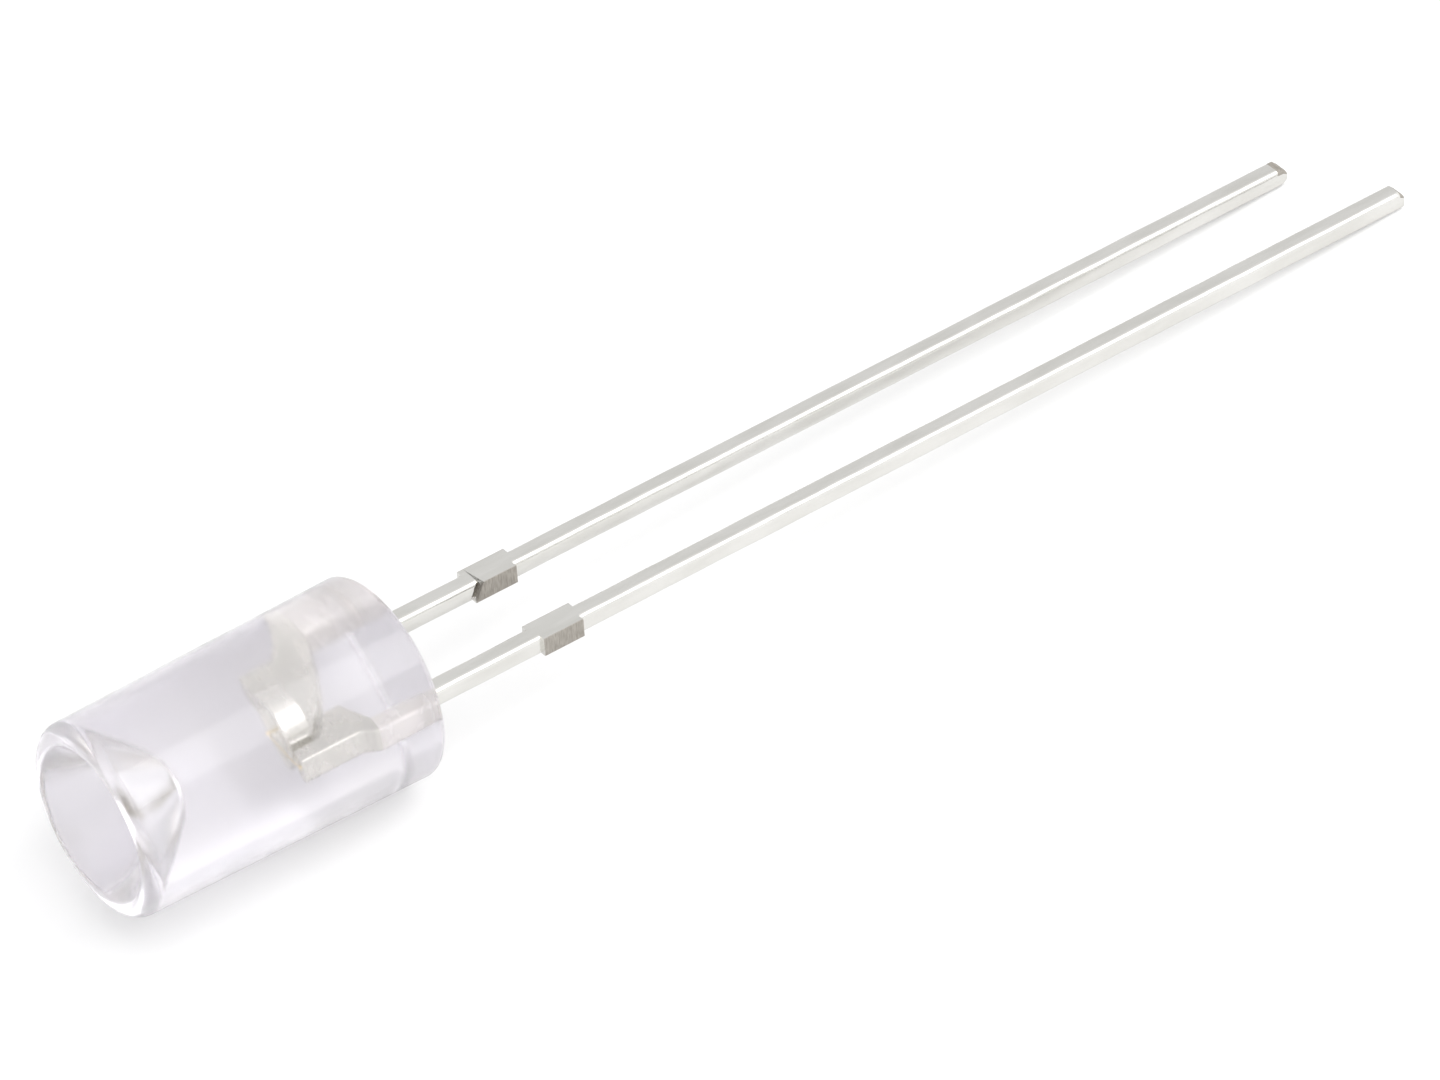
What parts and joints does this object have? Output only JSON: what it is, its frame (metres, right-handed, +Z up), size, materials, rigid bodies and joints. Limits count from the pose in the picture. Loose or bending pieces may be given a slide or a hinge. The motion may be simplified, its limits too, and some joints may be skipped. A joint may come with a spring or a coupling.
{
  "type": "through hole led",
  "caption": "Clear round through hole LED with a cone-shaped hollow in its front and long square leads, lying at rest.",
  "frame": {"origin": "on the surface that the part lies on, under the middle of its bounding box", "axes": "+X along the leads, from the body towards the tips; +Y towards the cathode lead, the shorter one; +Z up from the surface"},
  "size_m": [0.0366, 0.005, 0.0055],
  "materials": {
    "clear_epoxy": "gloss",
    "tinned_steel": "satin",
    "die": "satin",
    "silver_glue": "matte",
    "gold_wire": "polished"
  },
  "bodies": {
    "root": {"lens_body": "clear_epoxy", "cathode_lead": "tinned_steel", "anode_lead": "tinned_steel", "led_die": "die", "die_attach": "silver_glue", "bond_wire": "gold_wire"}
  },
  "joints": []
}
